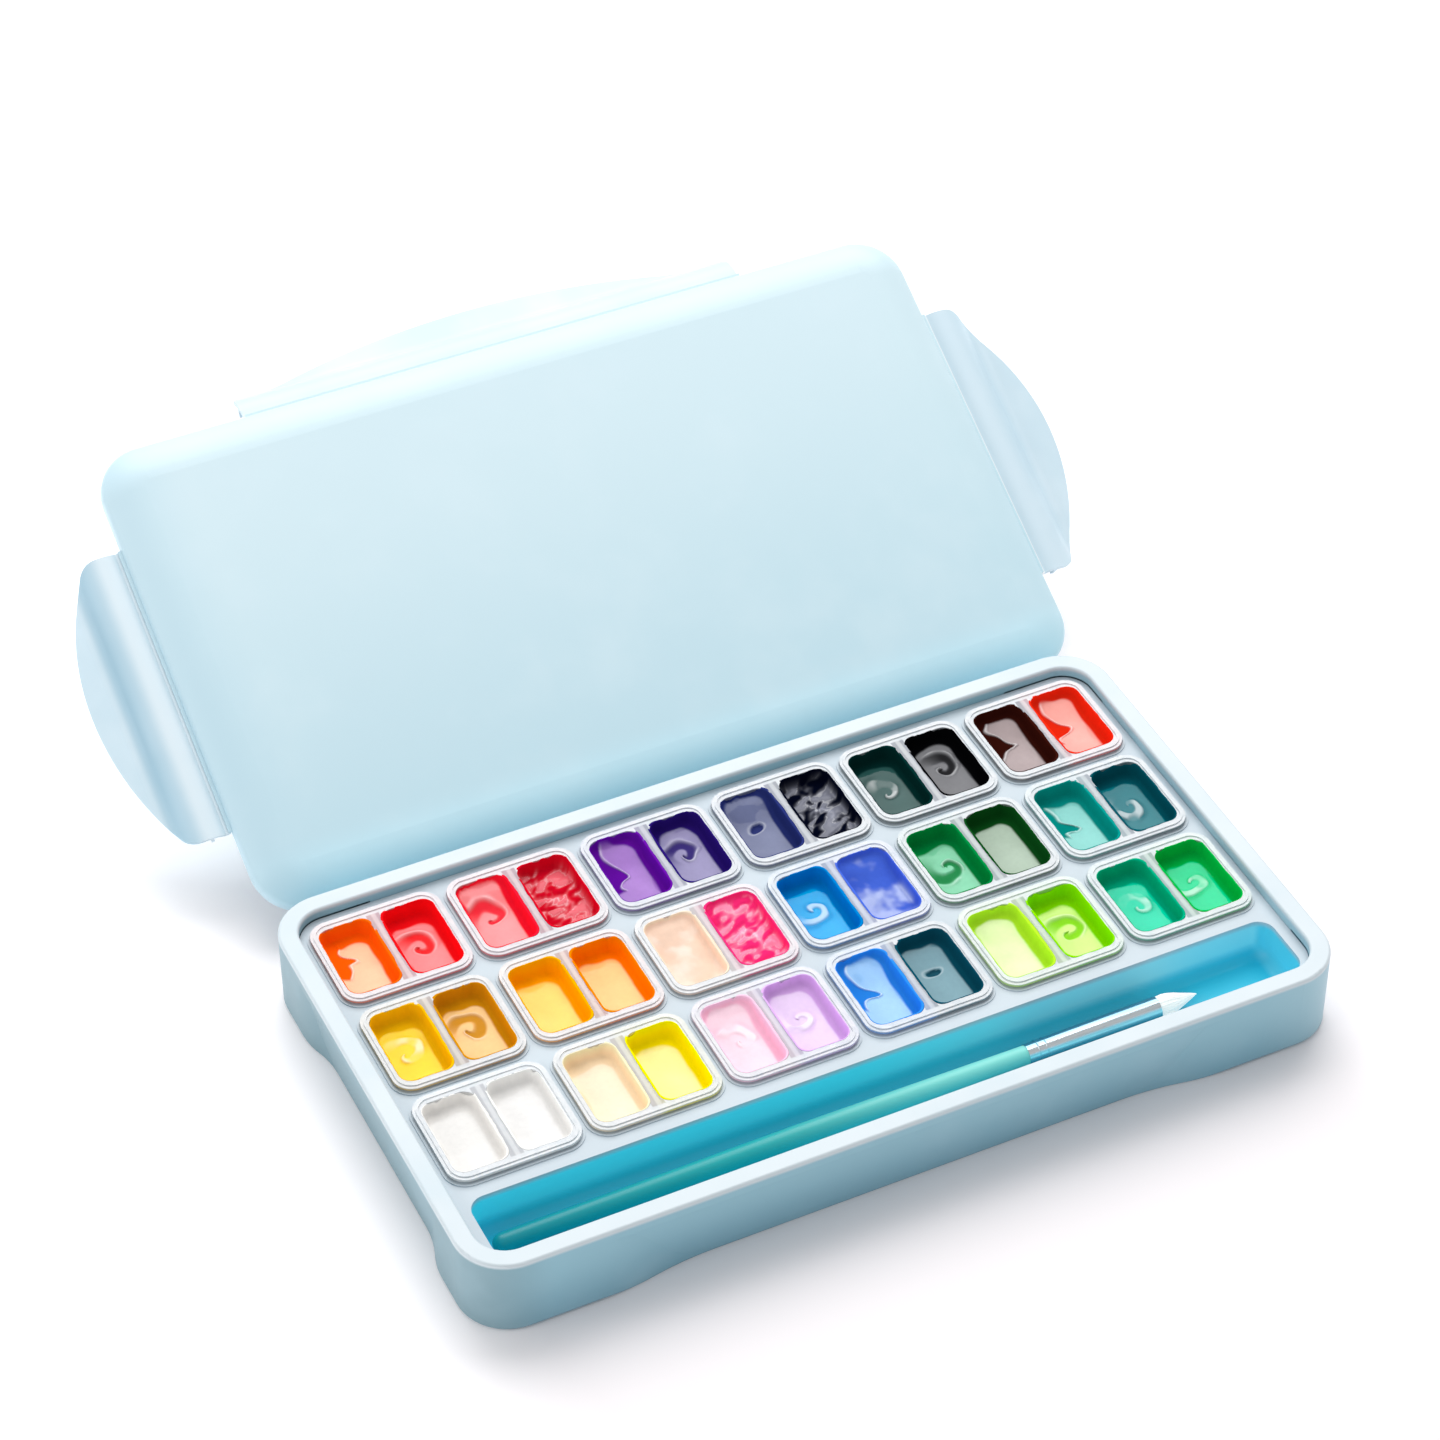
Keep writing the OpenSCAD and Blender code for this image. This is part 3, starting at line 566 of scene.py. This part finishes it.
def paint_piece(row, column):
    """One cup's paint: in both rooms the wet surface, and the film that it leaves up the walls."""
    count, rings = ((168, 44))
    points, faces, colours, wets = [], [], [], []
    cup_x = (column - (COLUMNS + 1) / 2) * PITCH_X
    cup_y = GRID_Y - (row - (ROWS + 1) / 2) * PITCH_Y
    for side, (colour, lit, style, drop, bank) in zip((-1, 1), PAINTS[row, column]):
        seed = row * 20 + column * 3 + side
        deep, light_pool = np.array(srgb(colour)), np.array(srgb(lit))
        level = FLANGE_Z - drop
        room_x = cup_x + side * ROOM_X
        wall = room_outline(count, FILM_OUT)
        skin = room_outline(count, FILM_IN)
        # The film's upper edge is just under the rim, and torn where the knife was wiped.
        tear = speckle(wall[:, 0] + seed * 3.1, wall[:, 1], 0.2, seed, 3)
        back = soft(wall[:, 1], 0.5 * ROOM_D / 2, ROOM_D / 2)
        top = FLANGE_Z - 0.1 - np.clip(back * (2.6 * tear - 0.2), 0.0, 1.8)
        top = np.maximum(top, level + 1.0)
        # Where it reaches the rim it laps over it a little, and most on the divider.
        inner = soft(-side * wall[:, 0], 0.4 * ROOM_W / 2, 0.9 * ROOM_W / 2)
        lap_outside = np.clip(0.2 + 0.25 * tear, 0.1, 0.35)
        lap_divider = np.clip(0.75 + 0.3 * tear, 0.5, 0.95)
        lap = lap_outside * (1 - inner) + lap_divider * inner
        lap = lap * soft(top, FLANGE_Z - 0.35, FLANGE_Z - 0.15)
        outward = wall / np.hypot(*wall.T)[:, None]
        over = wall + lap[:, None] * outward
        still, solid = np.zeros(count), np.ones(count)
        film_rings = ((wall, still + CUP_FLOOR + FILM_OUT), (wall, still + level - 2.0),
                      (wall, top - 0.12), (over, top + 0.13), (0.5 * (wall + over), top + 0.2),
                      (0.5 * (wall + skin), top + 0.1), (skin, top - 0.15))
        layers = [(ring, z, still, still, solid, still) for ring, z in film_rings]
        # The surface: rings that lie close together at the wall and run in towards the middle.
        reach = room_outline(count, SURFACE_EDGE)
        shares = [1.0 - 0.012 * k for k in range(9)] + list(np.linspace(0.893, 0.02, rings - 9))
        for share in shares:
            ring = reach * share
            gap = (1 - share) * ROOM_W / 2
            height, painted_sheen, light, wet = paint_surface(ring[:, 0], ring[:, 1], style, bank, seed)
            climb = math.exp(-gap / 0.5) ** 1.6
            banked = level + bank * soft(ring[:, 1], 0.1 * ROOM_D, 0.5 * ROOM_D)
            banked = np.minimum(banked, top - SURFACE_RISE)
            z = banked + height * min(1.0, gap / 2.2) + (top - banked - SURFACE_RISE) * climb
            bare = 1 - climb
            layers.append((ring, z, painted_sheen * bare, light * bare, still + climb, wet * bare))
        first = len(points)
        for ring, z, painted_sheen, light, film, wet in layers:
            # The colour: the pool of light painted in as sheen, a painted highlight on the ridges,
            # and the film up the walls painted lighter.
            linear = deep + (light_pool - deep) * painted_sheen[:, None]
            linear = linear + (1 - linear) * (0.6 * light * (0.3 + 0.7 * painted_sheen))[:, None]
            linear = np.minimum(linear * (0.98 + 0.3 * film)[:, None], 1.0)
            points += list(np.c_[(room_x + ring[:, 0]) * MM, (cup_y + ring[:, 1]) * MM, z * MM])
            colours += list(np.c_[linear, np.ones(count)])
            wets += list(wet)
        for k in range(len(layers) - 1):
            for i in range(count):
                a, b = first + k * count + i, first + k * count + (i + 1) % count
                faces.append((a, b, b + count, a + count))
        last = first + (len(layers) - 1) * count
        foot = len(points)
        points.append((room_x * MM, cup_y * MM, (CUP_FLOOR + FILM_OUT) * MM))
        points.append((room_x * MM, cup_y * MM, points[last][2]))
        colours += [colours[first], colours[last]]
        wets += [0.0, wets[last]]
        for i in range(count):
            faces.append((foot, first + (i + 1) % count, first + i))
            faces.append((foot + 1, last + i, last + (i + 1) % count))
    made = add_mesh(f"gouache_r{row}c{column}", points, faces)
    set_attribute(made, "pigment_and_painted_light", colours, "FLOAT_COLOR")
    set_attribute(made, "wet", wets)
    return made


def hair_tree():
    """Node tree of the brush's hair: a round bundle that swells and then meets in a point."""
    tree = bpy.data.node_groups.new("brush_hair", "GeometryNodeTree")
    for name, kind in (("Strands", "Int"), ("Length", "Float"), ("Bundle Radius", "Float"),
                       ("Strand Radius", "Float"), ("Seed", "Int"), ("Finish", "Material")):
        tree.interface.new_socket(name, in_out="INPUT", socket_type="NodeSocket" + kind)
    tree.interface.new_socket("Geometry", in_out="OUTPUT", socket_type="NodeSocketGeometry")
    given = tree.nodes.new("NodeGroupInput").outputs

    def node(kind, inputs=(), **settings):
        made = tree.nodes.new(kind)
        for key, value in settings.items():
            setattr(made, key, value)
        for key, value in dict(inputs).items():
            if isinstance(value, bpy.types.NodeSocket):
                tree.links.new(value, made.inputs[key])
            else:
                made.inputs[key].default_value = value
        return made.outputs[0]

    def calc(operation, *values):
        return node("ShaderNodeMath", enumerate(values), operation=operation)

    line = node("GeometryNodeCurvePrimitiveLine")
    line = node("GeometryNodeResampleCurve", {"Curve": line, "Count": HAIR_POINTS})
    points = node("GeometryNodePoints", {"Count": given["Strands"]})
    bundle = node("GeometryNodeInstanceOnPoints", {"Points": points, "Instance": line})
    bundle = node("GeometryNodeRealizeInstances", {"Geometry": bundle})
    # Which strand a point belongs to, and how far along it the point is, from 0 to 1.
    index = node("GeometryNodeInputIndex")
    strand = calc("FLOOR", calc("DIVIDE", calc("ADD", index, 0.5), HAIR_POINTS))
    along = calc("SUBTRACT", index, calc("MULTIPLY", strand, HAIR_POINTS))
    along = calc("DIVIDE", along, HAIR_POINTS - 1)
    share = calc("SQRT", calc("DIVIDE", calc("ADD", strand, 0.5), given["Strands"]))
    angle = calc("MULTIPLY", strand, GOLDEN_ANGLE)
    chance = tree.nodes.new("FunctionNodeRandomValue")
    chance.data_type = "FLOAT"
    tree.links.new(strand, next(i for i in chance.inputs if i.name == "ID"))
    tree.links.new(given["Seed"], next(i for i in chance.inputs if i.name == "Seed"))
    drawn = next(o for o in chance.outputs if o.enabled and o.type == "VALUE")
    reach = calc("SUBTRACT", 1.0, calc("MULTIPLY", calc("MULTIPLY", share, drawn), 0.16))
    swell = calc("MINIMUM", calc("MULTIPLY", along, 1.5), 1.0)
    swell = calc("SINE", calc("MULTIPLY", swell, math.pi))
    belly = calc("ADD", calc("MULTIPLY", swell, 0.22), 1.0)
    taper = calc("SUBTRACT", 1.0, calc("POWER", along, 2.3))
    belly = calc("ADD", calc("MULTIPLY", belly, taper), 0.06)
    spread = calc("MULTIPLY", calc("MULTIPLY", share, belly), given["Bundle Radius"])
    place = node("ShaderNodeCombineXYZ", {
        "X": calc("MULTIPLY", calc("MULTIPLY", along, reach), given["Length"]),
        "Y": calc("MULTIPLY", spread, calc("COSINE", angle)),
        "Z": calc("MULTIPLY", spread, calc("SINE", angle))})
    bundle = node("GeometryNodeSetPosition", {"Geometry": bundle, "Position": place})
    thin = calc("SUBTRACT", 1.0, calc("MULTIPLY", along, 0.7))
    thick = calc("MULTIPLY", given["Strand Radius"], thin)
    section = node("GeometryNodeCurvePrimitiveCircle", {"Resolution": 3, "Radius": 1.0})
    tubes = {"Curve": bundle, "Profile Curve": section, "Scale": thick, "Fill Caps": True}
    hair = node("GeometryNodeCurveToMesh", tubes)
    hair = node("GeometryNodeRealizeInstances", {"Geometry": hair})
    hair = node("GeometryNodeSetMaterial", {"Geometry": hair, "Material": given["Finish"]})
    tree.links.new(hair, tree.nodes.new("NodeGroupOutput").inputs["Geometry"])
    return tree


def hair_piece(finish):
    """The brush's hair, with its node tree turned into a plain mesh at the ferrule's mouth."""
    tree = hair_tree()
    values = {"Strands": HAIR_STRANDS,
              "Length": (BRUSH_TO - BRISTLE_FROM + 0.4) * MM,
              "Bundle Radius": HAIR_BUNDLE * MM, "Strand Radius": HAIR_THICKNESS * MM,
              "Seed": 7, "Finish": finish.material}
    made = bpy.data.objects.new("brush_hair", bpy.data.meshes.new("brush_hair_start"))
    bpy.context.scene.collection.objects.link(made)
    modifier = made.modifiers.new("hair", "NODES")
    modifier.node_group = tree
    for item in tree.interface.items_tree:
        if item.in_out == "INPUT":
            modifier[item.identifier] = values[item.name]
    evaluated = made.evaluated_get(bpy.context.evaluated_depsgraph_get())
    mesh = bpy.data.meshes.new_from_object(evaluated)
    made.modifiers.clear()
    made.data = mesh
    mesh.transform(Matrix.Translation(Vector((BRISTLE_FROM - HAIR_SUNK, BRUSH_Y, BRUSH_Z)) * MM))
    return made


# ---- the object ----

lid_finish().on(nodes["lid_shell"])
for side in ("left", "right", "back", "front"):
    flap_finish(side).on(nodes[f"flap_{side}"])
tub_finish().on(nodes["base_tub"])
tray_finish().on(nodes["cup_tray"])
gasket_finish().on(nodes["lid_gasket"])
handle_finish().on(nodes["brush_handle"])
ferrule_finish().on(nodes["brush_ferrule"])
gouache = gouache_finish()
for row in range(1, ROWS + 1):
    for column in range(1, COLUMNS + 1):
        cup_finish(row, column).on(nodes[f"cup_r{row}c{column}"])
        piece = paint_piece(row, column)
        gouache.on(piece)
        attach(piece, f"cup_{row}_{column}")
        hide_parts(f"paint_r{row}c{column}")
hair = hair_piece(hair_finish())
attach(hair, "brush")
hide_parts("brush_bristles")


# ---- stage, light and camera ----

def floor():
    """White floor. Its glow stands for the second light that washes out the photo's shadows: on the
    left, behind the tub's right side, and everywhere far from the object."""
    corners = [(i * FLOOR_REACH, j * FLOOR_REACH, FLOOR_Z)
               for i, j in ((-1, -1), (1, -1), (1, 1), (-1, 1))]
    made = add_mesh("floor", corners, [(0, 1, 2, 3)])
    f = Finish("floor_white", Specular_IOR_Level=0.1)
    f.shader.inputs["Emission Strength"].default_value = 1.0
    x, y, z = f.here()
    mottle = f.noise(3, 2)
    f.colour(f.mix("#fbf5f6", "#faf4f5", mottle))
    f.rough(mottle.step(0.2, 0.8, 0.7, 0.8))
    left = x.step(-0.13, -0.2).high(x.step(-0.1, -0.15) * y.step(0.12, 0.17))
    open_side = left + x.step(0.14, 0.18) * y.step(-0.02, 0.1, 0.25, 0.55)
    away = (x * x + (y - 0.05) * (y - 0.05)) ** 0.5
    glow = f.mix("#000000", "#a0a5a7", open_side.high(away.step(0.34, 0.6)))
    glow = f.mix(glow, "#ffffff", away.step(0.8, 1.8))
    f.feed(f.shader.inputs["Emission Color"], glow)
    f.on(made)


def area_light(name, place, target, width, height, power):
    light = bpy.data.lights.new(name, "AREA")
    light.shape = "RECTANGLE"
    light.size, light.size_y = width, height
    light.energy = power
    made = bpy.data.objects.new(name, light)
    bpy.context.scene.collection.objects.link(made)
    made.location = place
    made.rotation_euler = (Vector(target) - Vector(place)).to_track_quat("-Z", "Y").to_euler()
    return made


def world():
    """White to the camera, and a soft, slightly blue light on everything else."""
    made = bpy.data.worlds.new("studio")
    bpy.context.scene.world = made
    made.use_nodes = True
    tree = made.node_tree
    tree.nodes.clear()
    out = tree.nodes.new("ShaderNodeOutputWorld")
    path = tree.nodes.new("ShaderNodeLightPath")
    shown = tree.nodes.new("ShaderNodeBackground")
    shown.inputs["Color"].default_value = (1, 1, 1, 1)
    lit = tree.nodes.new("ShaderNodeBackground")
    lit.inputs["Color"].default_value = (0.96, 0.98, 1, 1)
    lit.inputs["Strength"].default_value = WORLD_STRENGTH
    mix = tree.nodes.new("ShaderNodeMixShader")
    tree.links.new(path.outputs["Is Camera Ray"], mix.inputs[0])
    tree.links.new(lit.outputs[0], mix.inputs[1])
    tree.links.new(shown.outputs[0], mix.inputs[2])
    tree.links.new(mix.outputs[0], out.inputs[0])


def camera():
    azimuth, elevation, roll = map(math.radians, VIEW_ANGLES)
    back = Vector((math.sin(azimuth) * math.cos(elevation),
                   -math.cos(azimuth) * math.cos(elevation), math.sin(elevation)))
    across = (-back).cross(Vector((0, 0, 1))).normalized()
    up = across.cross(-back)
    x = math.cos(roll) * across + math.sin(roll) * up
    y = -math.sin(roll) * across + math.cos(roll) * up
    data = bpy.data.cameras.new("camera")
    data.sensor_fit = "HORIZONTAL"
    data.sensor_width = SENSOR
    data.lens = SENSOR * FOCAL_PIXELS / PHOTO_PIXELS
    data.clip_start = 0.05
    made = bpy.data.objects.new("camera", data)
    bpy.context.scene.collection.objects.link(made)
    turn = Matrix((x, y, back)).transposed()
    place = Vector(VIEW_TARGET) + back * VIEW_DISTANCE
    made.matrix_world = Matrix.Translation(place) @ turn.to_4x4()
    bpy.context.scene.camera = made


floor()
world()
area_light("softbox_back", (0.56, 1.25, 1.82), (0.0, 0.08, 0.0), 2.2, 1.8, 46.0)
area_light("softbox_left", (-1.9, 0.0, 1.1), (0.0, 0.05, 0.0), 1.2, 0.9, 9.0)
camera()
bpy.context.scene.view_settings.view_transform = "Standard"
